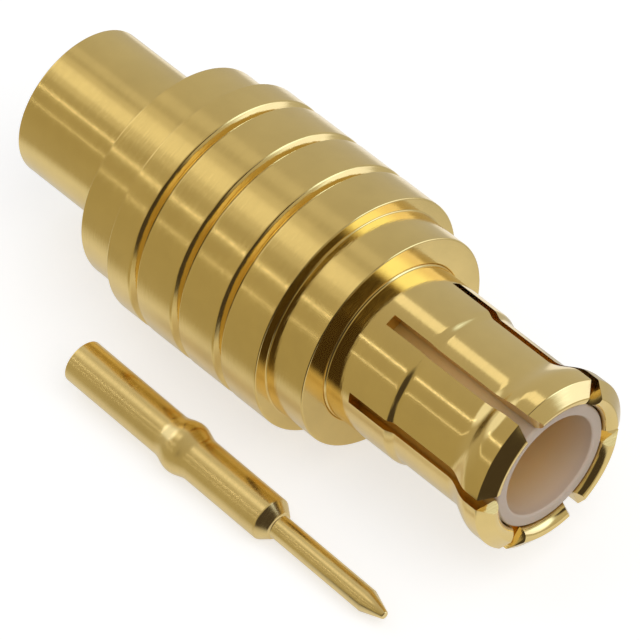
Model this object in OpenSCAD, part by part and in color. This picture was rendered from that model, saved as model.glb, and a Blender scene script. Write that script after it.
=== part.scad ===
// Straight coaxial plug for thin semi-rigid cable, with its centre contact lying beside it.
// Millimetres. The mating end points to +X and the origin is the centre of the flange's front face.

/* [Body] */
// Diameter of the four grip rings
ring_d = 5.3; // [5.1:0.05:6]
// Length of one full grip ring
ring_l = 0.98; // [0.6:0.02:1.6]
// Number of full grip rings
ring_count = 3; // [2:1:5]
// Length of the short ring next to the rear collar
end_ring_l = 0.65; // [0.4:0.05:1.2]
// Width of a groove between two rings, over its sloping wall
groove_w = 0.22; // [0.18:0.02:0.3]
// Length of the groove's rear wall, which slopes down towards the mating end
groove_slope_l = 0.12; // [0.06:0.01:0.14]
// Depth of a groove
groove_depth = 0.17; // [0.08:0.01:0.25]
// Diameter of the front flange
flange_d = 4.72; // [4.3:0.02:5]
// Length of the front flange
flange_l = 1.0; // [0.5:0.05:1.6]
// Diameter of the rear collar
collar_d = 4.84; // [4.2:0.02:5]
// Length of the rear collar
collar_l = 1.0; // [0.5:0.05:2]
// Diameter of the rear cable tube
tube_d = 3.32; // [3:0.02:3.8]
// Length of the rear cable tube
tube_l = 2.7; // [1.5:0.1:5]
// Break on the body's turned edges
edge_break = 0.03; // [0.01:0.01:0.05]

/* [Cable bore] */
// Diameter of the bore that takes the cable's jacket
cable_bore_d = 2.3; // [2.2:0.02:2.5]
// Diameter of the hole that passes the cable's dielectric
core_hole_d = 1.7; // [1.5:0.05:2]
// Thickness of the web between the cable bore and the insulator
web_t = 0.5; // [0.3:0.05:0.8]

/* [Spring contact] */
// Outer diameter of the spring fingers behind the lip
neck_d = 3.34; // [3.2:0.02:3.38]
// Wall of the spring fingers
finger_wall = 0.27; // [0.24:0.01:0.32]
// Height of the turned step from the fingers up to the root
root_step = 0.08; // [0.02:0.01:0.12]
// Length of the root in front of the flange, up to the foot of the step
root_l = 1.84; // [1.2:0.02:2.4]
// Length of the slope from the root down to the fingers
root_slope_l = 0.1; // [0.04:0.01:0.2]
// Height of the shoulder over the root, where a small slope meets the flange's face
rim = 0.03; // [0.02:0.01:0.08]
// Height of the snap lip over the fingers
lip_h = 0.24; // [0.12:0.01:0.3]
// Distance from the flange to where the lip begins to flare
flare_start = 3.3; // [2.9:0.05:3.5]
// Length of the flare
flare_l = 0.75; // [0.5:0.05:0.9]
// Length of the lip's crest
crest_l = 0.28; // [0.2:0.02:0.5]
// Length of the chamfer in front of the crest
nose_l = 0.22; // [0.1:0.02:0.3]
// Depth of the bevel inside the mouth, and its height
mouth_bevel = 0.21; // [0.1:0.01:0.24]
// Width of the flat land between the bevel and the chamfer
mouth_land = 0.02; // [0.01:0.01:0.05]
// Wall of the shank that is pressed into the body
shank_wall = 0.23; // [0.15:0.01:0.26]
// Length of the shank behind the flange's front face
shank_l = 2.2; // [1.2:0.1:2.6]
// Play behind the shank's end, so that only its shoulder bears
shank_end_gap = 0.05; // [0.02:0.01:0.1]
// Depth of the counterbore in the flange that takes the shoulder
shoulder_l = 0.3; // [0.1:0.05:0.5]
// Number of spring fingers
finger_count = 6; // [4:1:8]
// Width of the slot between two fingers
slot_w = 0.25; // [0.15:0.01:0.35]
// Distance from the flange to the closed end of the slots
slot_start = 0.65; // [0.4:0.05:1.2]
// Angle of the first slot, from +Y towards +Z
slot_angle = 52; // [0:1:60]

/* [Insulator] */
// Play between the insulator and the bore round it, on the radius
insulator_gap = 0.02; // [0.01:0.01:0.04]
// Wall of the insulator round its open cavity
insulator_wall = 0.26; // [0.2:0.01:0.32]
// Distance of the insulator's front behind the mouth
insulator_recess = 0.17; // [0.05:0.01:0.3]
// Length of the insulator behind the flange's front face
insulator_tail = 4.0; // [3.4:0.1:4.1]
// Distance from the flange to the floor of the cavity
cavity_floor = 1.1; // [0.5:0.02:1.4]

/* [Centre contact] */
// Diameter of the contact's barrel
barrel_d = 0.94; // [0.8:0.02:1]
// Length of the barrel behind the middle of the bead
barrel_rear_l = 2.99; // [2.4:0.05:3.4]
// Length of the barrel in front of the middle of the bead, with its shoulder
barrel_front_l = 2.66; // [2.2:0.02:2.8]
// Diameter of the retaining bead
bead_d = 1.14; // [1.04:0.02:1.2]
// Length of the retaining bead
bead_l = 0.9; // [0.6:0.02:1.1]
// Height of the slope on the barrel's front shoulder
shoulder_slope = 0.17; // [0.05:0.01:0.18]
// Length of the slope on the barrel's front shoulder
shoulder_slope_l = 0.24; // [0.1:0.02:0.4]
// Diameter of the contact's pin
pin_d = 0.5; // [0.48:0.01:0.53]
// Length of the pin, with its tapered tip
pin_l = 2.97; // [2.5:0.01:3.3]
// Length of the tapered tip
taper_l = 0.5; // [0.3:0.05:0.8]
// Diameter of the flat at the very tip
tip_d = 0.16; // [0.1:0.02:0.24]
// Diameter of the solder cup in the barrel's rear end
cup_d = 0.56; // [0.52:0.01:0.6]
// Depth of the solder cup
cup_depth = 2.0; // [1.2:0.1:2.4]
// Running play of the contact in the insulator, on the radius
contact_gap = 0.01; // [0.005:0.005:0.02]

/* [Layout] */
// Distance between the plug's axis and the contact lying beside it
contact_offset = 3.47; // [3.4:0.01:5]
// Place of the contact's bead along the plug, from the flange's front face
contact_at = -2.1; // [-4:0.1:0]

/* [Hidden] */
$fn = 96;
gold = "#c8a950";
bright_gold = "#d4b455";
ptfe = "#ece7e2";

// Radii
ring_r = ring_d / 2;
flange_r = flange_d / 2;
collar_r = collar_d / 2;
tube_r = tube_d / 2;
neck_r = neck_d / 2;
spring_bore_r = neck_r - finger_wall;
root_r = neck_r + root_step;
shoulder_r = root_r + rim;
lip_r = neck_r + lip_h;
mouth_r = spring_bore_r + mouth_bevel;
shank_r = spring_bore_r + shank_wall;
insulator_r = spring_bore_r - insulator_gap;
cavity_r = insulator_r - insulator_wall;
cable_r = cable_bore_d / 2;
core_r = core_hole_d / 2;
barrel_r = barrel_d / 2;
bead_r = bead_d / 2;
pin_r = pin_d / 2;
cup_r = cup_d / 2;

// Places along the plug's axis, all from the flange's front face
ring_pitch = ring_l + groove_w;
rings_front = -flange_l;
end_ring_front = rings_front - ring_count * ring_pitch;
collar_front = end_ring_front - end_ring_l;
tube_front = collar_front - collar_l;
tube_rear = tube_front - tube_l;
web_front = -insulator_tail;
web_rear = web_front - web_t;
crest_start = flare_start + flare_l;
nose_start = crest_start + crest_l;
mouth_x = nose_start + nose_l;
insulator_front = mouth_x - insulator_recess;
contact_bead_x = cavity_floor - barrel_front_l;
shank_bottom = -shank_l - shank_end_gap;

// Finer shapes
crest_break = 0.04;
cut_margin = 0.1;
flare_steps = 12;
bead_steps = 10;
slot_reach = lip_r + cut_margin;
snap_play = 0.04;
lead_in = 0.2;

// A shape turned about the plug's axis, from an outline of [place along X, radius]
module turned(outline) {
    rotate([0, 90, 0])
        rotate_extrude()
            polygon([for (p = outline) [p[1], p[0]]]);
}

// Outline of a cylinder from x0 to x1, with its rear edge broken
function drum(x0, x1, r) = [[x0, r - edge_break], [x0 + edge_break, r], [x1, r]];

// Outside of the body from its rear end to its front face
function body_outside() = concat(
    drum(tube_rear, tube_front, tube_r),
    drum(tube_front, collar_front, collar_r),
    drum(collar_front, end_ring_front, ring_r),
    [for (i = [ring_count:-1:1]) each concat(
        [[rings_front - i * ring_pitch + groove_slope_l, ring_r - groove_depth],
         [rings_front - i * ring_pitch + groove_w, ring_r - groove_depth]],
        drum(rings_front - i * ring_pitch + groove_w, rings_front - (i - 1) * ring_pitch, ring_r))],
    [[rings_front, flange_r], [-edge_break, flange_r], [0, flange_r - edge_break]]);

// Turned body: cable tube, collar, grip rings and front flange, bored through
module connector_body() {
    color(gold) turned(concat(
        body_outside(),
        [[0, shoulder_r], [-shoulder_l, shoulder_r], [-shoulder_l, shank_r],
         [shank_bottom, shank_r], [shank_bottom, spring_bore_r],
         [web_front, spring_bore_r], [web_front, core_r],
         [web_rear, core_r], [web_rear, cable_r], [tube_rear, cable_r]]));
}

// Radius of the flare, easing from the neck out to the crest
function flare_radius(t) = neck_r + (lip_r - neck_r) * (1 - cos(180 * t)) / 2;

// Outside of the spring contact from its shank to its mouth
function spring_outside() = concat(
    [[-shank_l, shank_r], [-shoulder_l, shank_r], [-shoulder_l, shoulder_r], [0, shoulder_r]],
    [[rim, root_r], [root_l - root_slope_l, root_r], [root_l, neck_r]],
    [for (i = [0:flare_steps]) [flare_start + flare_l * i / flare_steps, flare_radius(i / flare_steps)]],
    [[nose_start - crest_break, lip_r], [nose_start, lip_r - crest_break], [mouth_x, mouth_r + mouth_land],
     [mouth_x, mouth_r]]);

// Slotted spring contact with its snap lip
module spring_outer_contact() {
    color(bright_gold) difference() {
        turned(concat(
            spring_outside(),
            [[mouth_x - mouth_bevel, spring_bore_r], [-shank_l, spring_bore_r]]));
        for (i = [0:finger_count - 1])
            rotate([slot_angle + i * 360 / finger_count, 0, 0])
                translate([slot_start, 0, -slot_w / 2])
                    cube([mouth_x - slot_start + cut_margin, slot_reach, slot_w]);
    }
}

// Insulator: open cavity in front, hole and snap groove for the centre contact behind
module insulator() {
    hole_r = barrel_r + contact_gap;
    snap_r = bead_r + contact_gap;
    snap_l = bead_l / 2 + snap_play;
    color(ptfe) turned([
        [web_front, insulator_r], [insulator_front, insulator_r],
        [insulator_front, cavity_r], [cavity_floor, cavity_r], [cavity_floor, hole_r],
        [contact_bead_x + snap_l, hole_r], [contact_bead_x + snap_l - (snap_r - hole_r), snap_r],
        [contact_bead_x - snap_l + (snap_r - hole_r), snap_r], [contact_bead_x - snap_l, hole_r],
        [web_front + lead_in, hole_r], [web_front, hole_r + lead_in]]);
}

// Radius of the bead at t from -1 to 1, a round swelling on the barrel
function bead_radius(t) = barrel_r + (bead_r - barrel_r) * (1 + cos(180 * t)) / 2;

// Outline of the centre contact, with the middle of its bead at zero
function contact_outline() = concat(
    [[-barrel_rear_l, cup_r], [-barrel_rear_l, barrel_r - edge_break], [-barrel_rear_l + edge_break, barrel_r]],
    [for (i = [-bead_steps:bead_steps]) [bead_l / 2 * i / bead_steps, bead_radius(i / bead_steps)]],
    [[barrel_front_l - shoulder_slope_l, barrel_r], [barrel_front_l, barrel_r - shoulder_slope],
     [barrel_front_l, pin_r], [barrel_front_l + pin_l - taper_l, pin_r],
     [barrel_front_l + pin_l, tip_d / 2], [barrel_front_l + pin_l, 0],
     [cup_depth - barrel_rear_l, 0], [cup_depth - barrel_rear_l, cup_r]]);

// The contact lies nose down on its bead and on the edge of its shoulder
contact_tilt = atan((bead_r - barrel_r) / (barrel_front_l - shoulder_slope_l));

// Centre contact with its solder cup, lying beside the plug on the same surface
module centre_contact() {
    color(bright_gold)
        translate([contact_at, -contact_offset, -ring_r + bead_r])
            rotate([0, contact_tilt, 0])
                turned(contact_outline());
}

connector_body();
spring_outer_contact();
insulator();
centre_contact();
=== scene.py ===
"""Dresses a gold-plated coaxial plug and its loose centre contact for a product picture."""

import math
from types import SimpleNamespace

import bpy
from bpy.props import (
    FloatProperty,
    FloatVectorProperty,
    IntProperty,
    PointerProperty,
)
from mathutils import Matrix, Vector


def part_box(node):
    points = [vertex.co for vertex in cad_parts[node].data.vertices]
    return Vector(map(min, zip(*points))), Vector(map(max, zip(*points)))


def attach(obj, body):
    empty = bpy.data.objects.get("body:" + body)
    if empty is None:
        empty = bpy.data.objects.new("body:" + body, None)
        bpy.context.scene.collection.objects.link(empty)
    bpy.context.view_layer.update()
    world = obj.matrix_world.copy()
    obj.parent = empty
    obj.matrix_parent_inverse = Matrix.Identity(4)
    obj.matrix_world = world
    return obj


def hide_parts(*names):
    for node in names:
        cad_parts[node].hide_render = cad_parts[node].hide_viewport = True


bl_info = {
    "name": "Coaxial Plug Dresser",
    "version": (1, 0, 0),
    "blender": (4, 5, 0),
    "location": "View3D > Sidebar > Plug",
    "description": "Turned gold-plated plug parts, their finishes and a pale studio table",
    "category": "Object",
}

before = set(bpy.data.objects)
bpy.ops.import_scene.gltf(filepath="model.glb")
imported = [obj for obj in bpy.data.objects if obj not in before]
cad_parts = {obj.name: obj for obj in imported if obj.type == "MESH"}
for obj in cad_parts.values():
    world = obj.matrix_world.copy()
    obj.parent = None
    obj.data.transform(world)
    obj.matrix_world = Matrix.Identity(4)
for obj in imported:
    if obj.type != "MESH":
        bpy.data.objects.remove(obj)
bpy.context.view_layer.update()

# Pieces are drawn with one unit to the millimetre and are shrunk by this at the end
MM = 0.001

BODY_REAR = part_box("connector_body")[0].x
FLOOR_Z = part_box("connector_body")[0].z
MOUTH_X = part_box("spring_outer_contact")[1].x

# Points of a drawing closer than this are one point
MERGE_GAP = 1e-5

# Sides of the turned pieces
METAL_SIDES = 256
INSULATOR_SIDES = 192
CONTACT_SIDES = 128

# Edges steeper than this are broken, and shading is smooth up to the second angle
EDGE_ANGLE = math.radians(25)
EDGE_SEGMENTS = 3
SMOOTH_ANGLE = math.radians(35)

# Noise scales of the surfaces, and how much finer the scratches are along the plug than round it
MOTTLE_SCALE = 900
LINE_SCALE = 14000
SCRATCH_SCALE = 2600
SCRATCH_SQUEEZE = 9

# Where the ramps over a noise start and end, and the shares of brightness and roughness that they span
NOISE_ENDS = (0.3, 0.7)
MOTTLE_SHARES = (0.94, 1.03)
ROUGHNESS_SHARES = (0.8, 1.35)

# Faint rings of the moulded insulator
MOULD_RING_SCALE = 9000
MOULD_RING_DEPTH = 0.004 * MM

# Painted reflection of the plating and painted shade: colours of the insulator by the share of the way
# from the flange to its front, and where its white starts
PAINTED_BOUNCE_AND_SHADE = (
    (0.10, (0.66, 0.38, 0.08)),
    (0.45, (0.80, 0.50, 0.18)),
    (0.80, (0.82, 0.57, 0.27)),
    (0.95, (0.74, 0.58, 0.42)),
)
PAINTED_BOUNCE_END = 0.985

# Parts of the room that polished metal sees: azimuth and elevation of the middle, the angle from it
# where the brightness starts to change and the angle where the change ends, all in degrees
REAR_WINDOW = (-168, 30, 14, 24)
WHITE_BOARD = (72.6, 20, 30, 42)
CAMERA_SIDE = (-40, 8, 34, 44)
DARK_CEILING = (-12, 60, 24, 32)
WINDOW_COLOUR = (0.95, 0.98, 1.05)

# The painted bright patch, part of the painted reflection that the table shows behind the plug, in the
# same terms
PAINTED_TABLE_PATCH = (128, 0, 22, 36)
PAINTED_PATCH_COLOUR = (0.95, 0.95, 0.95)

# Colours of the board from its foot to its top, by the Z part of the direction
BOARD_SHADES = ((0.15, (1.2, 1.3, 1.75)), (0.4, (1.5, 1.9, 2.6)))

# Colours of the walls from the -Y side to the +Y side and of the dark side, as shares of their levels
WALL_TINTS = ((0.0, (0.84, 0.73, 0.44)), (0.5, (1.0, 0.92, 0.72)), (1.0, (1.12, 1.12, 1.12)))
DARK_TINT = (1.0, 0.8, 0.6)

# Where the board and the dark ceiling start and end, as the X part of the direction
BOARD_START = (0.1, 0.4)
CEILING_START = (0.4, 0.48)

# Sides and radius of the table, in metres
TABLE_SIDES = 96
TABLE_RADIUS = 1.5

# The X part of the direction to most lamps, the lamps' distance and the length of most, in metres
LAMP_LEAN = -0.5
LAMP_DISTANCE = 0.30
LAMP_LENGTH = 0.30


def length(name, description, millimetres):
    """A length that the user types, held in metres."""
    return FloatProperty(
        name=name,
        description=description,
        default=millimetres * MM,
        min=0.0,
        unit="LENGTH",
        subtype="DISTANCE",
        precision=6,
    )


def colour(name, description, default):
    """A colour that the user picks."""
    return FloatVectorProperty(
        name=name,
        description=description,
        default=default,
        min=0.0,
        max=1.0,
        size=3,
        subtype="COLOR",
    )


def share(name, description, default):
    """A plain number from nought to one."""
    return FloatProperty(name=name, description=description, default=default, min=0.0, max=1.0)


class PlugBodySizes(bpy.types.PropertyGroup):
    """Sizes of the turned body."""

    ring_d: length("Ring diameter", "Diameter of the grip rings", 5.3)
    ring_l: length("Ring length", "Length of a full grip ring", 0.98)
    ring_count: IntProperty(name="Rings", description="Number of full grip rings", default=3, min=1)
    end_ring_l: length("Short ring length", "Length of the ring next to the rear collar", 0.65)
    groove_w: length("Groove width", "Width of a groove between two rings, over its slope", 0.22)
    groove_slope_l: length("Groove slope", "Length of the groove's sloping rear wall", 0.12)
    groove_depth: length("Groove depth", "Depth of a groove", 0.17)
    flange_d: length("Flange diameter", "Diameter of the front flange", 4.72)
    flange_l: length("Flange length", "Length of the front flange", 1.0)
    collar_d: length("Collar diameter", "Diameter of the rear collar", 4.84)
    collar_l: length("Collar length", "Length of the rear collar", 1.0)
    tube_d: length("Tube diameter", "Diameter of the cable tube", 3.32)
    cable_bore_d: length("Cable bore", "Bore that takes the cable", 2.3)
    core_hole_d: length("Core hole", "Hole through the web", 1.7)
    web_t: length("Web thickness", "Web between the cable bore and the insulator", 0.5)
    edge_r: length("Edge break", "Rounding of the turned edges", 0.035)


class SpringContactSizes(bpy.types.PropertyGroup):
    """Sizes of the slotted spring contact."""

    neck_d: length("Finger diameter", "Diameter over the fingers behind the lip", 3.34)
    finger_wall: length("Finger wall", "Wall of the fingers", 0.27)
    root_step: length("Root step", "Height of the step up to the root", 0.08)
    root_l: length("Root length", "Length of the root in front of the flange", 1.84)
    root_slope_l: length("Root slope", "Length of the soft slope from the root to the fingers", 0.24)
    rim: length("Rim", "Height of the shoulder over the root, sloping down from the flange's face", 0.03)
    lip_h: length("Lip height", "Height of the snap lip over the fingers", 0.24)
    flare_start: length("Flare start", "Distance from the flange to the flare", 3.3)
    flare_l: length("Flare length", "Length of the flare", 0.75)
    crest_l: length("Crest length", "Length of the lip's crest", 0.28)
    nose_l: length("Nose length", "Length of the chamfer in front of the crest", 0.22)
    mouth_bevel: length("Mouth bevel", "Depth of the bevel inside the mouth", 0.21)
    mouth_land: length("Mouth land", "Width of the flat between the bevel and the chamfer", 0.02)
    shank_wall: length("Shank wall", "Wall of the shank inside the body", 0.23)
    shank_l: length("Shank length", "Length of the shank inside the body", 2.2)
    shoulder_l: length("Shoulder length", "Depth of the shoulder inside the flange", 0.3)
    finger_count: IntProperty(name="Fingers", description="Number of spring fingers", default=6, min=2)
    slot_w: length("Slot width", "Width of the slot between two fingers", 0.25)
    slot_start: length("Slot start", "Distance from the flange to the slot's closed end", 0.65)
    slot_angle: FloatProperty(
        name="Slot angle",
        description="Angle of the first slot from +Y towards +Z",
        default=math.radians(52),
        unit="ROTATION",
        subtype="ANGLE",
    )
    corner_w: length("Corner break", "Width of the break on the fingers' front corners", 0.1)
    edge_r: length("Edge break", "Rounding of the turned edges", 0.02)


class InsulatorSizes(bpy.types.PropertyGroup):
    """Sizes of the insulator."""

    gap: length("Play", "Play between the insulator and the bore round it", 0.02)
    wall: length("Wall", "Wall round the open cavity", 0.26)
    recess: length("Recess", "Distance of the front behind the mouth", 0.17)
    tail: length("Tail", "Length behind the flange's front face", 4.0)
    cavity_floor: length("Cavity floor", "Distance from the flange to the cavity's floor", 1.1)
    edge_r: length("Edge rounding", "Rounding of the moulded edges", 0.05)


class CentreContactSizes(bpy.types.PropertyGroup):
    """Sizes and place of the loose centre contact."""

    barrel_d: length("Barrel diameter", "Diameter of the barrel", 0.94)
    barrel_rear_l: length("Rear barrel", "Length of the barrel behind the bead's middle", 2.99)
    barrel_front_l: length("Front barrel", "Length of the barrel in front of the bead's middle", 2.66)
    bead_d: length("Bead diameter", "Diameter of the retaining bead", 1.14)
    bead_l: length("Bead length", "Length of the retaining bead", 0.9)
    slope: length("Shoulder slope", "Height of the slope on the front shoulder", 0.17)
    slope_l: length("Shoulder slope length", "Length of the slope on the front shoulder", 0.24)
    pin_d: length("Pin diameter", "Diameter of the pin", 0.5)
    pin_l: length("Pin length", "Length of the pin with its tip", 2.97)
    taper_l: length("Tip length", "Length of the tapered tip", 0.5)
    tip_d: length("Tip flat", "Diameter of the flat at the tip", 0.16)
    cup_d: length("Cup diameter", "Diameter of the solder cup", 0.56)
    cup_depth: length("Cup depth", "Depth of the solder cup", 2.0)
    gap: length("Play in the insulator", "Play of the contact in the insulator", 0.01)
    offset: length("Distance", "Distance between the two axes on the table", 3.47)
    behind: length("Setback", "Distance of the bead behind the flange's front face", 2.1)
    edge_r: length("Edge break", "Rounding of the turned edges", 0.025)


class FinishSettings(bpy.types.PropertyGroup):
    """Colours and fineness of the finishes."""

    body_gold: colour("Body gold", "Plating on the body", (0.88, 0.66, 0.25))
    spring_gold: colour("Spring gold", "Plating on the spring contact", (0.90, 0.68, 0.27))
    pin_gold: colour("Pin gold", "Plating on the centre contact", (0.93, 0.72, 0.32))
    white: colour("Insulator white", "Fluoropolymer of the insulator's front", (0.67, 0.54, 0.43))
    body_roughness: share("Body roughness", "Roughness of the plating on the body", 0.13)
    spring_roughness: share("Spring roughness", "Roughness of the plating on the spring contact", 0.10)
    pin_roughness: share("Pin roughness", "Roughness of the plating on the centre contact", 0.20)
    body_line: length("Body tool lines", "Depth of the tool lines on the body", 0.0004)
    fine_line: length("Fine tool lines", "Depth of the tool lines on both contacts", 0.0003)
    body_scratch: length("Body scratches", "Depth of the scratches on the body", 0.0024)
    spring_scratch: length("Spring scratches", "Depth of the scratches on the spring contact", 0.0014)
    pin_scratch: length("Pin scratches", "Depth of the scratches on the centre contact", 0.0007)


class StageSettings(bpy.types.PropertyGroup):
    """Camera, light and table."""

    azimuth: FloatProperty(
        name="Azimuth",
        description="Turn of the camera round the plug",
        default=math.radians(47.02),
        unit="ROTATION",
        subtype="ANGLE",
    )
    elevation: FloatProperty(
        name="Elevation",
        description="Height of the camera over the horizon",
        default=math.radians(46.60),
        unit="ROTATION",
        subtype="ANGLE",
    )
    distance: length("Camera distance", "Distance from the camera to its aim", 154.03)
    aim_x: FloatProperty(
        name="Aim X",
        description="Aim along the plug",
        default=-1.377 * MM,
        unit="LENGTH",
    )
    aim_y: FloatProperty(
        name="Aim Y",
        description="Aim across the plug",
        default=-0.595 * MM,
        unit="LENGTH",
    )
    lens: FloatProperty(name="Lens", description="Focal length in millimetres", default=450.0)
    sky_level: share("Room level", "Brightness of the sky and of the walls", 0.48)
    dark_level: share("Camera side level", "Brightness of the room on the camera's side", 0.06)
    floor_tone: share("Table tone", "Albedo of the table", 0.6)
    table_glow: share("Table glow", "Strength that the camera sees on top of the lit table", 0.60)
    table_shine: share("Table shine", "Strength that polished metal sees on top of the lit table", 0.32)
    plain_end: length("Plain zone", "Width of the zone that polished metal sees as plain table", 3.5)
    room_start: length("Room zone", "Distance where polished metal sees only the room in the table", 6.0)
    patch_end: length("Patch zone", "Distance where the bright patch behind the plug starts to fade", 8.0)
    patch_fade: length("Patch fade", "Distance where the bright patch behind the plug has faded", 12.0)
    board_start: length("Board zone", "Distance where the table starts to mirror the white board", 25.0)
    board_full: length("Board full", "Distance where the table mirrors the whole board", 45.0)


def in_millimetres(settings):
    """The settings' lengths in millimetres, with counts and angles as they are."""
    values = {}
    for key in settings.bl_rna.properties.keys():
        if key in ("rna_type", "name"):
            continue
        value = getattr(settings, key)
        is_length = isinstance(value, float) and settings.bl_rna.properties[key].unit == "LENGTH"
        values[key] = value / MM if is_length else value
    return SimpleNamespace(**values)


def deselect_all():
    """Leaves nothing selected and no active object in edit mode."""
    if bpy.context.mode != "OBJECT":
        bpy.ops.object.mode_set(mode="OBJECT")
    bpy.ops.object.select_all(action="DESELECT")


def make_active(piece):
    """Selects one object alone."""
    deselect_all()
    piece.select_set(True)
    bpy.context.view_layer.objects.active = piece


def turned(name, outline, segments):
    """A part turned about X: a ring of edges drawn out along an outline of (place, radius) points."""
    deselect_all()
    (x, r) = outline[0]
    bpy.ops.mesh.primitive_circle_add(
        vertices=segments, radius=r, location=(x, 0, 0), rotation=(0, math.pi / 2, 0)
    )
    piece = bpy.context.active_object
    piece.name = name
    bpy.ops.object.transform_apply(location=True, rotation=True, scale=True)
    bpy.ops.object.mode_set(mode="EDIT")
    bpy.ops.mesh.select_mode(type="VERT")
    bpy.ops.mesh.select_all(action="SELECT")
    for (x0, r0), (x1, r1) in zip(outline, outline[1:]):
        bpy.ops.mesh.extrude_region_move(TRANSFORM_OT_translate={"value": (x1 - x0, 0, 0)})
        bpy.ops.transform.resize(value=(1, r1 / r0, r1 / r0), center_override=(0, 0, 0))
    bpy.ops.mesh.select_all(action="DESELECT")
    bpy.ops.mesh.select_non_manifold()
    bpy.ops.mesh.bridge_edge_loops()
    bpy.ops.mesh.select_all(action="SELECT")
    bpy.ops.mesh.normals_make_consistent(inside=False)
    bpy.ops.object.mode_set(mode="OBJECT")
    return piece


def break_edges(piece, radius):
    """Rounds the sharp edges."""
    make_active(piece)
    bpy.ops.object.modifier_add(type="BEVEL")
    bevel = piece.modifiers[-1]
    bevel.width = radius
    bevel.segments = EDGE_SEGMENTS
    bevel.limit_method = "ANGLE"
    bevel.angle_limit = EDGE_ANGLE
    bevel.use_clamp_overlap = True
    bpy.ops.object.modifier_apply(modifier=bevel.name)


def cut_away(piece, tool):
    """Cuts the tool's shape out of the piece."""
    make_active(piece)
    bpy.ops.object.modifier_add(type="BOOLEAN")
    cut = piece.modifiers[-1]
    cut.operation = "DIFFERENCE"
    cut.solver = "EXACT"
    cut.object = tool
    bpy.ops.object.modifier_apply(modifier=cut.name)
    bpy.data.objects.remove(tool)


def finish_piece(piece, node, material, place=None):
    """Smooths the drawing, shrinks it to real size, lays it in place and lets it stand for its node."""
    make_active(piece)
    bpy.ops.object.mode_set(mode="EDIT")
    bpy.ops.mesh.select_all(action="SELECT")
    bpy.ops.mesh.remove_doubles(threshold=MERGE_GAP)
    bpy.ops.mesh.normals_make_consistent(inside=False)
    bpy.ops.object.mode_set(mode="OBJECT")
    bpy.ops.object.shade_smooth_by_angle(angle=SMOOTH_ANGLE)
    bpy.ops.object.modifier_add(type="WEIGHTED_NORMAL")
    piece.modifiers[-1].keep_sharp = True
    piece.modifiers[-1].thresh = 0.0
    bpy.ops.object.modifier_apply(modifier=piece.modifiers[-1].name)
    piece.matrix_world = Matrix.Scale(MM, 4) if place is None else place @ Matrix.Scale(MM, 4)
    bpy.ops.object.transform_apply(location=True, rotation=True, scale=True)
    piece.data.materials.clear()
    piece.data.materials.append(material)
    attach(piece, "root")
    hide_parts(node)


def new_material(name):
    """An empty material with its tree, shader and output."""
    material = bpy.data.materials.new(name)
    material.use_nodes = True
    tree = material.node_tree
    tree.nodes.clear()
    output = tree.nodes.new("ShaderNodeOutputMaterial")
    shader = tree.nodes.new("ShaderNodeBsdfPrincipled")
    tree.links.new(shader.outputs["BSDF"], output.inputs["Surface"])
    return material, tree, shader


def math_node(tree, operation, first, second=None):
    """A Math node fed by sockets or plain numbers, and its output."""
    node = tree.nodes.new("ShaderNodeMath")
    node.operation = operation
    for socket, value in zip(node.inputs, (first, second)):
        if value is None:
            continue
        if isinstance(value, (int, float)):
            socket.default_value = value
        else:
            tree.links.new(value, socket)
    return node.outputs[0]


def lathe_coordinates(tree, place=None):
    """Object coordinates along the part's own axis, and the distance that a turning tool has travelled."""
    texture = tree.nodes.new("ShaderNodeTexCoord")
    vector = texture.outputs["Object"]
    if place is not None:
        mapping = tree.nodes.new("ShaderNodeMapping")
        back = place.inverted()
        mapping.inputs["Location"].default_value = back.to_translation()
        mapping.inputs["Rotation"].default_value = back.to_euler("XYZ")
        tree.links.new(vector, mapping.inputs["Vector"])
        vector = mapping.outputs["Vector"]
    split = tree.nodes.new("ShaderNodeSeparateXYZ")
    tree.links.new(vector, split.inputs["Vector"])
    y2 = math_node(tree, "MULTIPLY", split.outputs["Y"], split.outputs["Y"])
    z2 = math_node(tree, "MULTIPLY", split.outputs["Z"], split.outputs["Z"])
    radius = math_node(tree, "SQRT", math_node(tree, "ADD", y2, z2))
    travel = math_node(tree, "ADD", split.outputs["X"], radius)
    return vector, travel


def noise(tree, scale, detail=3.0, roughness=0.6, vector=None, travel=None):
    """A noise pattern in space, or along the tool's travel."""
    node = tree.nodes.new("ShaderNodeTexNoise")
    node.inputs["Scale"].default_value = scale
    node.inputs["Detail"].default_value = detail
    node.inputs["Roughness"].default_value = roughness
    if travel is not None:
        node.noise_dimensions = "1D"
        tree.links.new(travel, node.inputs["W"])
    else:
        tree.links.new(vector, node.inputs["Vector"])
    return node.outputs["Fac"]


def ramp(tree, factor, stops):
    """A colour ramp from [place, colour] stops."""
    node = tree.nodes.new("ShaderNodeValToRGB")
    tree.links.new(factor, node.inputs["Fac"])
    elements = node.color_ramp.elements
    while len(elements) < len(stops):
        elements.new(0.5)
    for element, (place, shade) in zip(elements, stops):
        element.position = place
        element.color = (*shade, 1.0) if hasattr(shade, "__len__") else (shade, shade, shade, 1.0)
    return node.outputs["Color"]


def mix_colour(tree, factor, first, second):
    """A mix of two colours or sockets by a factor from nought to one."""
    node = tree.nodes.new("ShaderNodeMix")
    node.data_type = "RGBA"
    tree.links.new(factor, node.inputs["Factor"])
    sides = [socket for socket in node.inputs if socket.type == "RGBA"]
    for socket, shade in zip(sides, (first, second)):
        if isinstance(shade, tuple):
            socket.default_value = (*shade, 1.0)
        else:
            tree.links.new(shade, socket)
    return next(socket for socket in node.outputs if socket.type == "RGBA")


def dimmed(shade, level):
    """A colour at a share of its brightness."""
    return tuple(level * part for part in shade)


def smooth_step(tree, value, low, high):
    """A soft step from nought to one between two values."""
    step = tree.nodes.new("ShaderNodeMapRange")
    step.interpolation_type = "SMOOTHSTEP"
    step.inputs["From Min"].default_value = low
    step.inputs["From Max"].default_value = high
    tree.links.new(value, step.inputs["Value"])
    return step.outputs["Result"]


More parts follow.
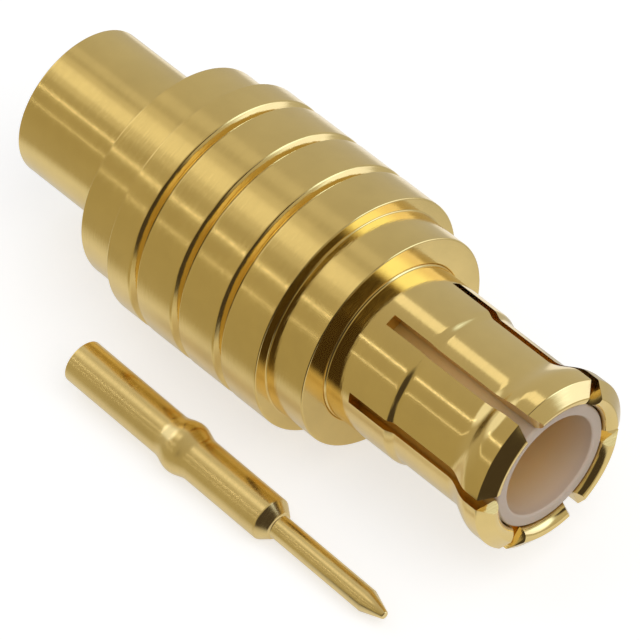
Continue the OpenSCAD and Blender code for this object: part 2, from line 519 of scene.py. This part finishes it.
def lobe(tree, view, azimuth, elevation, inner, outer):
    """One in a cone about a direction, falling to nought from the inner to the outer angle, in degrees."""
    a, e = math.radians(azimuth), math.radians(elevation)
    dot = tree.nodes.new("ShaderNodeVectorMath")
    dot.operation = "DOT_PRODUCT"
    dot.inputs[1].default_value = (math.cos(a) * math.cos(e), math.sin(a) * math.cos(e), math.sin(e))
    tree.links.new(view, dot.inputs[0])
    low, high = math.cos(math.radians(outer)), math.cos(math.radians(inner))
    return smooth_step(tree, dot.outputs["Value"], low, high)


def room_colour(tree, view, stage, board_share=None):
    """What polished metal sees of the room: warm walls, a window, a white board and a dark side.

    board_share is how much of the board shows; without it, the whole board does."""
    split = tree.nodes.new("ShaderNodeSeparateXYZ")
    tree.links.new(view, split.inputs["Vector"])
    across = math_node(tree, "ADD", math_node(tree, "MULTIPLY", split.outputs["Y"], 0.5), 0.5)
    walls = ramp(tree, across, [(place, dimmed(tint, stage.sky_level)) for place, tint in WALL_TINTS])
    back = mix_colour(tree, lobe(tree, view, *REAR_WINDOW), walls, WINDOW_COLOUR)
    ahead = smooth_step(tree, split.outputs["X"], *BOARD_START)
    board = math_node(tree, "MULTIPLY", lobe(tree, view, *WHITE_BOARD), ahead)
    if board_share is not None:
        board = math_node(tree, "MULTIPLY", board, board_share)
    card = ramp(tree, split.outputs["Z"], BOARD_SHADES)
    lit = mix_colour(tree, board, back, card)
    in_front = smooth_step(tree, split.outputs["X"], *CEILING_START)
    over = math_node(tree, "MULTIPLY", lobe(tree, view, *DARK_CEILING), in_front)
    shade = math_node(tree, "MAXIMUM", lobe(tree, view, *CAMERA_SIDE), over)
    return mix_colour(tree, shade, lit, dimmed(DARK_TINT, stage.dark_level))


def distance_from_plug(tree, spot):
    """Distance of a spot on the table from the plug's axis between its two ends."""
    split = tree.nodes.new("ShaderNodeSeparateXYZ")
    tree.links.new(spot, split.inputs["Vector"])
    x, y = split.outputs["X"], split.outputs["Y"]
    beside = math_node(tree, "MINIMUM", math_node(tree, "MAXIMUM", x, BODY_REAR), MOUTH_X)
    past = math_node(tree, "SUBTRACT", x, beside)
    squares = [math_node(tree, "MULTIPLY", side, side) for side in (past, y)]
    return math_node(tree, "SQRT", math_node(tree, "ADD", *squares))


def painted_room_in_table(tree, spot, distance, stage):
    """Painted reflection: the room at the horizon as a spot of the table mirrors it, with a painted bright
    patch near the plug.
    """
    flat = tree.nodes.new("ShaderNodeVectorMath")
    flat.operation = "MULTIPLY"
    flat.inputs[1].default_value = (1, 1, 0)
    tree.links.new(spot, flat.inputs[0])
    away = tree.nodes.new("ShaderNodeVectorMath")
    away.operation = "NORMALIZE"
    tree.links.new(flat.outputs["Vector"], away.inputs[0])
    view = away.outputs["Vector"]
    farthest = smooth_step(tree, distance, stage.board_start, stage.board_full)
    faded = smooth_step(tree, distance, stage.patch_end, stage.patch_fade)
    near = math_node(tree, "SUBTRACT", 1.0, faded)
    patch = math_node(tree, "MULTIPLY", lobe(tree, view, *PAINTED_TABLE_PATCH), near)
    room = room_colour(tree, view, stage, farthest)
    return mix_colour(tree, patch, room, PAINTED_PATCH_COLOUR)


def bump(tree, height, depth, under=None):
    """A Bump node over an earlier one."""
    node = tree.nodes.new("ShaderNodeBump")
    node.inputs["Strength"].default_value = 1.0
    node.inputs["Distance"].default_value = depth
    tree.links.new(height, node.inputs["Height"])
    if under is not None:
        tree.links.new(under, node.inputs["Normal"])
    return node.outputs["Normal"]


def turned_gold(name, tint, roughness, line_depth, scratch_depth, place=None):
    """Bright turned plating: fine tool lines and scratches round the axis, and a soft mottle."""
    material, tree, shader = new_material(name)
    vector, travel = lathe_coordinates(tree, place)
    mottle = noise(tree, MOTTLE_SCALE, vector=vector)
    lines = noise(tree, LINE_SCALE, travel=travel)
    along = tree.nodes.new("ShaderNodeMapping")
    along.inputs["Scale"].default_value = (SCRATCH_SQUEEZE, 1, 1)
    tree.links.new(vector, along.inputs["Vector"])
    scratches = noise(tree, SCRATCH_SCALE, vector=along.outputs["Vector"])
    shades = [[min(1, part) for part in dimmed(tint, level)] for level in MOTTLE_SHARES]
    colour_out = ramp(tree, mottle, list(zip(NOISE_ENDS, shades)))
    tree.links.new(colour_out, shader.inputs["Base Color"])
    levels = [roughness * level for level in ROUGHNESS_SHARES]
    rough = ramp(tree, scratches, list(zip(NOISE_ENDS, levels)))
    tree.links.new(rough, shader.inputs["Roughness"])
    shader.inputs["Metallic"].default_value = 1.0
    shader.inputs["Anisotropic"].default_value = 0.6
    tangent = tree.nodes.new("ShaderNodeTangent")
    tangent.direction_type = "RADIAL"
    tangent.axis = "X"
    tree.links.new(tangent.outputs["Tangent"], shader.inputs["Tangent"])
    scratch_normal = bump(tree, scratches, scratch_depth)
    normal = bump(tree, lines, line_depth, under=scratch_normal)
    tree.links.new(normal, shader.inputs["Normal"])
    return material


def fluoropolymer(name, tint, front):
    """White fluoropolymer: waxy, and warmer and browner towards the flange, with a painted reflection of
    the plating and painted shade.
    """
    material, tree, shader = new_material(name)
    vector, travel = lathe_coordinates(tree)
    split = tree.nodes.new("ShaderNodeSeparateXYZ")
    tree.links.new(vector, split.inputs["Vector"])
    depth = math_node(tree, "DIVIDE", split.outputs["X"], front)
    # Painted reflection of the plating and painted shade, browner towards the flange
    painted_bounce_and_shade = ramp(tree, depth, [*PAINTED_BOUNCE_AND_SHADE, (PAINTED_BOUNCE_END, tint)])
    tree.links.new(painted_bounce_and_shade, shader.inputs["Base Color"])
    shader.inputs["Roughness"].default_value = 0.42
    shader.inputs["Subsurface Weight"].default_value = 0.35
    shader.inputs["Subsurface Radius"].default_value = (1.0, 0.75, 0.6)
    shader.inputs["Subsurface Scale"].default_value = 0.25 * MM
    rings = noise(tree, MOULD_RING_SCALE, detail=2.0, roughness=0.5, travel=travel)
    tree.links.new(bump(tree, rings, MOULD_RING_DEPTH), shader.inputs["Normal"])
    return material


class OBJECT_OT_turn_plug_body(bpy.types.Operator):
    """Turns the body: cable tube, collar, grip rings and flange, bored through"""

    bl_idname = "object.turn_plug_body"
    bl_label = "Turn Plug Body"

    def execute(self, context):
        s = in_millimetres(context.scene.plug_body)
        c = in_millimetres(context.scene.spring_contact)
        i = in_millimetres(context.scene.plug_insulator)
        bore_r = c.neck_d / 2 - c.finger_wall
        ring_r = s.ring_d / 2
        pitch = s.ring_l + s.groove_w
        end_ring_front = -s.flange_l - s.ring_count * pitch
        collar_front = end_ring_front - s.end_ring_l
        tube_front = collar_front - s.collar_l
        rear = BODY_REAR / MM
        outline = [(rear, s.tube_d / 2), (tube_front, s.tube_d / 2)]
        outline += [(tube_front, s.collar_d / 2), (collar_front, s.collar_d / 2)]
        outline += [(collar_front, ring_r), (end_ring_front, ring_r)]
        for ring in range(s.ring_count, 0, -1):
            start = -s.flange_l - ring * pitch
            outline += [(start + s.groove_slope_l, ring_r - s.groove_depth)]
            outline += [(start + s.groove_w, ring_r - s.groove_depth)]
            outline += [(start + s.groove_w, ring_r), (start + pitch, ring_r)]
        outline += [(-s.flange_l, s.flange_d / 2), (0, s.flange_d / 2)]
        shoulder_r = c.neck_d / 2 + c.root_step + c.rim
        outline += [(0, shoulder_r), (-c.shoulder_l, shoulder_r), (-c.shoulder_l, bore_r + c.shank_wall)]
        outline += [(-c.shank_l, bore_r + c.shank_wall), (-c.shank_l, bore_r), (-i.tail, bore_r)]
        outline += [(-i.tail, s.core_hole_d / 2), (-i.tail - s.web_t, s.core_hole_d / 2)]
        outline += [(-i.tail - s.web_t, s.cable_bore_d / 2), (rear, s.cable_bore_d / 2)]
        piece = turned("plug_body", outline, METAL_SIDES)
        break_edges(piece, s.edge_r)
        look = context.scene.plug_finishes
        gold = turned_gold(
            "turned_gold_body", look.body_gold, look.body_roughness, look.body_line, look.body_scratch
        )
        finish_piece(piece, "connector_body", gold)
        return {"FINISHED"}


class OBJECT_OT_turn_spring_contact(bpy.types.Operator):
    """Turns the spring contact, flares its lip and saws its slots"""

    bl_idname = "object.turn_spring_contact"
    bl_label = "Turn Spring Contact"

    def execute(self, context):
        c = in_millimetres(context.scene.spring_contact)
        neck_r = c.neck_d / 2
        bore_r = neck_r - c.finger_wall
        root_r = neck_r + c.root_step
        shank_r = bore_r + c.shank_wall
        lip_r = neck_r + c.lip_h
        crest_start = c.flare_start + c.flare_l
        nose_start = crest_start + c.crest_l
        mouth_x = nose_start + c.nose_l
        outline = [(-c.shank_l, shank_r), (-c.shoulder_l, shank_r), (-c.shoulder_l, root_r + c.rim)]
        outline += [(0, root_r + c.rim), (c.rim, root_r)]
        soft = 6
        for n in range(soft + 1):
            fall = (1 - math.cos(math.pi * n / soft)) / 2
            outline.append((c.root_l - c.root_slope_l * (1 - n / soft), root_r - c.root_step * fall))
        steps = 24
        for n in range(steps + 1):
            rise = (1 - math.cos(math.pi * n / steps)) / 2
            outline.append((c.flare_start + c.flare_l * n / steps, neck_r + c.lip_h * rise))
        outline += [(nose_start, lip_r), (mouth_x, bore_r + c.mouth_bevel + c.mouth_land)]
        turn = 8
        for n in range(turn + 1):
            angle = math.pi / 2 * n / turn
            back, down = 1 - math.cos(angle), 1 - math.sin(angle)
            outline.append((mouth_x - c.mouth_bevel * back, bore_r + c.mouth_bevel * down))
        outline.append((-c.shank_l, bore_r))
        piece = turned("spring_contact", outline, METAL_SIDES)
        break_edges(piece, c.edge_r)
        blade_l = mouth_x - c.slot_start + c.slot_w
        for n in range(c.finger_count // 2):
            angle = c.slot_angle + n * 2 * math.pi / c.finger_count
            deselect_all()
            bpy.ops.mesh.primitive_cube_add(
                size=1, location=(c.slot_start + blade_l / 2, 0, 0), rotation=(angle, 0, 0)
            )
            blade = bpy.context.active_object
            blade.scale = (blade_l, 3 * lip_r, c.slot_w)
            bpy.ops.object.transform_apply(location=True, rotation=True, scale=True)
            cut_away(piece, blade)
            cut_away(piece, self.corner_file(c, mouth_x, angle))
        look = context.scene.plug_finishes
        gold = turned_gold(
            "turned_gold_spring",
            look.spring_gold,
            look.spring_roughness,
            look.fine_line,
            look.spring_scratch,
        )
        finish_piece(piece, "spring_outer_contact", gold)
        return {"FINISHED"}

    def corner_file(self, c, mouth_x, angle):
        """A rhombic bar across the mouth that breaks the front corners on both sides of a slot."""
        steep = c.corner_w / c.nose_l
        ahead = c.nose_l
        half_w = c.slot_w / 2 + c.corner_w + steep * ahead
        deselect_all()
        bpy.ops.mesh.primitive_cube_add(size=math.sqrt(2), rotation=(0, math.pi / 4, 0))
        bar = bpy.context.active_object
        bpy.ops.object.transform_apply(location=True, rotation=True, scale=True)
        bar.scale = (half_w / steep, 2 * (c.neck_d / 2 + c.lip_h), half_w)
        bar.rotation_euler = (angle, 0, 0)
        bar.location = (mouth_x + ahead, 0, 0)
        bpy.ops.object.transform_apply(location=True, rotation=True, scale=True)
        return bar


class OBJECT_OT_turn_insulator(bpy.types.Operator):
    """Turns the insulator with its open cavity"""

    bl_idname = "object.turn_insulator"
    bl_label = "Turn Insulator"

    def execute(self, context):
        i = in_millimetres(context.scene.plug_insulator)
        c = in_millimetres(context.scene.spring_contact)
        p = in_millimetres(context.scene.centre_contact)
        outer_r = c.neck_d / 2 - c.finger_wall - i.gap
        front = c.flare_start + c.flare_l + c.crest_l + c.nose_l - i.recess
        hole_r = p.barrel_d / 2 + p.gap
        cavity_r = outer_r - i.wall
        outline = [(-i.tail, outer_r), (front, outer_r), (front, cavity_r)]
        outline += [(i.cavity_floor, cavity_r), (i.cavity_floor, hole_r), (-i.tail, hole_r)]
        piece = turned("plug_insulator", outline, INSULATOR_SIDES)
        break_edges(piece, i.edge_r)
        white = fluoropolymer("white_fluoropolymer", context.scene.plug_finishes.white, front * MM)
        finish_piece(piece, "insulator", white)
        return {"FINISHED"}


class OBJECT_OT_turn_centre_contact(bpy.types.Operator):
    """Turns the centre contact with its bead, shoulder and pin, and lays it beside the plug"""

    bl_idname = "object.turn_centre_contact"
    bl_label = "Turn Centre Contact"

    def execute(self, context):
        p = in_millimetres(context.scene.centre_contact)
        b = in_millimetres(context.scene.plug_body)
        barrel_r = p.barrel_d / 2
        bead_r = p.bead_d / 2
        outline = [(-p.barrel_rear_l, p.cup_d / 2), (-p.barrel_rear_l, barrel_r)]
        steps = 16
        for n in range(-steps, steps + 1):
            swell = (1 + math.cos(math.pi * n / steps)) / 2
            outline.append((p.bead_l / 2 * n / steps, barrel_r + (bead_r - barrel_r) * swell))
        outline += [(p.barrel_front_l - p.slope_l, barrel_r), (p.barrel_front_l, barrel_r - p.slope)]
        outline += [(p.barrel_front_l, p.pin_d / 2), (p.barrel_front_l + p.pin_l - p.taper_l, p.pin_d / 2)]
        tip_x = p.barrel_front_l + p.pin_l
        cup_floor = p.cup_depth - p.barrel_rear_l
        # The outline can't touch the axis, so the flats end at a hair's width from it
        hair_r = p.tip_d / 200
        outline += [(tip_x, p.tip_d / 2), (tip_x, hair_r)]
        outline += [(cup_floor, hair_r), (cup_floor, p.cup_d / 2)]
        piece = turned("centre_contact_pin", outline, CONTACT_SIDES)
        break_edges(piece, p.edge_r)
        tilt = math.atan((bead_r - barrel_r) / (p.barrel_front_l - p.slope_l))
        spot = Vector((-p.behind, -p.offset, bead_r - b.ring_d / 2)) * MM
        place = Matrix.Translation(spot) @ Matrix.Rotation(tilt, 4, "Y")
        look = context.scene.plug_finishes
        gold = turned_gold(
            "turned_gold_pin", look.pin_gold, look.pin_roughness, look.fine_line, look.pin_scratch, place
        )
        finish_piece(piece, "centre_contact", gold, place)
        piece.visible_glossy = False
        return {"FINISHED"}


def softbox(name, around, across, radiance, lean=LAMP_LEAN, along=LAMP_LENGTH, lit=None):
    """A rectangular lamp whose mirror image lies along the plug.

    around is the angle about the plug's axis from +Y towards +Z, lean the X part of its direction,
    across its width round the axis in degrees and along its length in metres. lit names the pieces
    that it lights; without it, it lights them all."""
    angle = math.radians(around)
    level = math.sqrt(1 - lean * lean)
    direction = Vector((lean, level * math.cos(angle), level * math.sin(angle)))
    lamp = bpy.data.lights.new(name, "AREA")
    lamp.shape = "RECTANGLE"
    lamp.size = along
    lamp.size_y = 2 * LAMP_DISTANCE * level * math.tan(math.radians(across) / 2)
    lamp.energy = radiance * math.pi * lamp.size * lamp.size_y
    holder = bpy.data.objects.new(name, lamp)
    bpy.context.scene.collection.objects.link(holder)
    round_axis = Vector((0, -math.sin(angle), math.cos(angle)))
    side = round_axis.cross(direction).normalized()
    turn = Matrix((side, round_axis, direction)).transposed().to_4x4()
    holder.matrix_world = Matrix.Translation(direction * LAMP_DISTANCE) @ turn
    if lit is not None:
        group = bpy.data.collections.new(name + "_lights")
        for piece in lit:
            group.objects.link(bpy.data.objects[piece])
        holder.light_linking.receiver_collection = group
    return holder


class SCENE_OT_set_plug_stage(bpy.types.Operator):
    """Sets the pale table, the soft lamps and the camera"""

    bl_idname = "scene.set_plug_stage"
    bl_label = "Set Plug Stage"

    def execute(self, context):
        stage = context.scene.plug_stage
        self.lay_table(stage)
        self.light_room(context.scene, stage)
        contact = ["spring_contact", "plug_insulator"]
        rest = ["plug_body", "centre_contact_pin", "table"]
        softbox("key_core", around=104, across=18, radiance=0.42, lit=rest)
        softbox("key_spread", around=104, across=36, radiance=0.16, lit=rest)
        softbox("thin_strip", around=139.5, across=1.8, radiance=1.6)
        softbox("second_strip", around=162.5, across=1.2, radiance=1.1)
        softbox("back_softbox", around=71, across=12, radiance=0.12, along=0.20, lit=rest)
        softbox("contact_softbox", around=71, across=14, radiance=0.55, along=0.20, lit=contact)
        fill = softbox("fill_softbox", around=95, across=50, radiance=1.6, lean=0.55, along=0.25)
        fill.visible_glossy = False
        self.place_camera(context.scene, stage)
        return {"FINISHED"}

    def lay_table(self, stage):
        """A wide pale table under both pieces."""
        deselect_all()
        bpy.ops.mesh.primitive_circle_add(
            vertices=TABLE_SIDES, radius=TABLE_RADIUS, fill_type="NGON", location=(0, 0, FLOOR_Z)
        )
        table = bpy.context.active_object
        table.name = "table"
        bpy.ops.object.transform_apply(location=True, rotation=True, scale=True)
        table.data.materials.append(self.table_white(stage))

    def table_white(self, stage):
        """Plain white to the camera; polished metal sees a painted reflection of the room in it, except
        close to the plug.
        """
        material, tree, shader = new_material("table_white")
        tone = stage.floor_tone
        shader.inputs["Base Color"].default_value = (tone, tone, tone, 1.0)
        shader.inputs["Roughness"].default_value = 0.6
        shader.inputs["Specular IOR Level"].default_value = 0.1
        path = tree.nodes.new("ShaderNodeLightPath")
        glow = tree.nodes.new("ShaderNodeEmission")
        seen = math_node(tree, "MULTIPLY", path.outputs["Is Camera Ray"], stage.table_glow)
        shine = math_node(tree, "MULTIPLY", path.outputs["Is Glossy Ray"], stage.table_shine)
        tree.links.new(math_node(tree, "ADD", seen, shine), glow.inputs["Strength"])
        both = tree.nodes.new("ShaderNodeAddShader")
        tree.links.new(shader.outputs["BSDF"], both.inputs[0])
        tree.links.new(glow.outputs["Emission"], both.inputs[1])
        spot = tree.nodes.new("ShaderNodeTexCoord").outputs["Object"]
        distance = distance_from_plug(tree, spot)
        far = smooth_step(tree, distance, stage.plain_end, stage.room_start)
        # Painted reflection: an emission that only glossy rays see, the room's picture away from the plug
        painted_room = tree.nodes.new("ShaderNodeEmission")
        tree.links.new(painted_room_in_table(tree, spot, distance, stage), painted_room.inputs["Color"])
        blend = tree.nodes.new("ShaderNodeMixShader")
        weight = math_node(tree, "MULTIPLY", path.outputs["Is Glossy Ray"], far)
        tree.links.new(weight, blend.inputs["Fac"])
        tree.links.new(both.outputs[0], blend.inputs[1])
        tree.links.new(painted_room.outputs["Emission"], blend.inputs[2])
        output = next(n for n in tree.nodes if n.type == "OUTPUT_MATERIAL")
        tree.links.new(blend.outputs[0], output.inputs["Surface"])
        return material

    def light_room(self, scene, stage):
        """An even sky for the light, the room's picture for polished metal, and white for the camera."""
        world = bpy.data.worlds.new("studio_room")
        scene.world = world
        world.use_nodes = True
        tree = world.node_tree
        tree.nodes.clear()
        view = tree.nodes.new("ShaderNodeTexCoord").outputs["Generated"]
        seen = room_colour(tree, view, stage)
        sky = stage.sky_level
        path = tree.nodes.new("ShaderNodeLightPath")
        level = mix_colour(tree, path.outputs["Is Glossy Ray"], (sky, sky, sky), seen)
        room = tree.nodes.new("ShaderNodeBackground")
        tree.links.new(level, room.inputs["Color"])
        white = tree.nodes.new("ShaderNodeBackground")
        white.inputs["Color"].default_value = (1, 1, 1, 1)
        mix = tree.nodes.new("ShaderNodeMixShader")
        tree.links.new(path.outputs["Is Camera Ray"], mix.inputs["Fac"])
        tree.links.new(room.outputs[0], mix.inputs[1])
        tree.links.new(white.outputs[0], mix.inputs[2])
        output = tree.nodes.new("ShaderNodeOutputWorld")
        tree.links.new(mix.outputs[0], output.inputs["Surface"])

    def place_camera(self, scene, stage):
        """A long lens that looks down on the plug."""
        camera = bpy.data.cameras.new("plug_camera")
        camera.sensor_width = 36.0
        camera.lens = stage.lens
        camera.clip_start = 0.005
        camera.clip_end = 10.0
        holder = bpy.data.objects.new("plug_camera", camera)
        scene.collection.objects.link(holder)
        a, e = stage.azimuth, stage.elevation
        back = Vector((math.sin(a) * math.cos(e), -math.cos(a) * math.cos(e), math.sin(e)))
        holder.location = Vector((stage.aim_x, stage.aim_y, 0)) + back * stage.distance
        holder.rotation_euler = (-back).to_track_quat("-Z", "Y").to_euler()
        scene.camera = holder
        scene.view_settings.view_transform = "Standard"


class VIEW3D_PT_plug_dresser(bpy.types.Panel):
    """Sizes, finishes and stage of the plug"""

    bl_label = "Coaxial Plug"
    bl_idname = "VIEW3D_PT_plug_dresser"
    bl_space_type = "VIEW_3D"
    bl_region_type = "UI"
    bl_category = "Plug"

    def draw(self, context):
        for operator, group in STEPS:
            box = self.layout.box()
            if operator is not None:
                box.operator(operator)
            settings = getattr(context.scene, group)
            for key in settings.bl_rna.properties.keys():
                if key not in ("rna_type", "name"):
                    box.prop(settings, key)


STEPS = (
    (None, "plug_finishes"),
    ("object.turn_plug_body", "plug_body"),
    ("object.turn_spring_contact", "spring_contact"),
    ("object.turn_insulator", "plug_insulator"),
    ("object.turn_centre_contact", "centre_contact"),
    ("scene.set_plug_stage", "plug_stage"),
)

GROUPS = {
    "plug_body": PlugBodySizes,
    "spring_contact": SpringContactSizes,
    "plug_insulator": InsulatorSizes,
    "centre_contact": CentreContactSizes,
    "plug_finishes": FinishSettings,
    "plug_stage": StageSettings,
}

CLASSES = (
    *GROUPS.values(),
    OBJECT_OT_turn_plug_body,
    OBJECT_OT_turn_spring_contact,
    OBJECT_OT_turn_insulator,
    OBJECT_OT_turn_centre_contact,
    SCENE_OT_set_plug_stage,
    VIEW3D_PT_plug_dresser,
)


def register():
    """Registers the classes and hangs the settings on the scene."""
    for cls in CLASSES:
        bpy.utils.register_class(cls)
    for name, group in GROUPS.items():
        setattr(bpy.types.Scene, name, PointerProperty(type=group))


def unregister():
    """Takes away what register added."""
    for name in GROUPS:
        delattr(bpy.types.Scene, name)
    for cls in reversed(CLASSES):
        bpy.utils.unregister_class(cls)


def main():
    """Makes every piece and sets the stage."""
    register()
    bpy.ops.object.turn_plug_body()
    bpy.ops.object.turn_spring_contact()
    bpy.ops.object.turn_insulator()
    bpy.ops.object.turn_centre_contact()
    bpy.ops.scene.set_plug_stage()
    deselect_all()


if __name__ == "__main__":
    main()
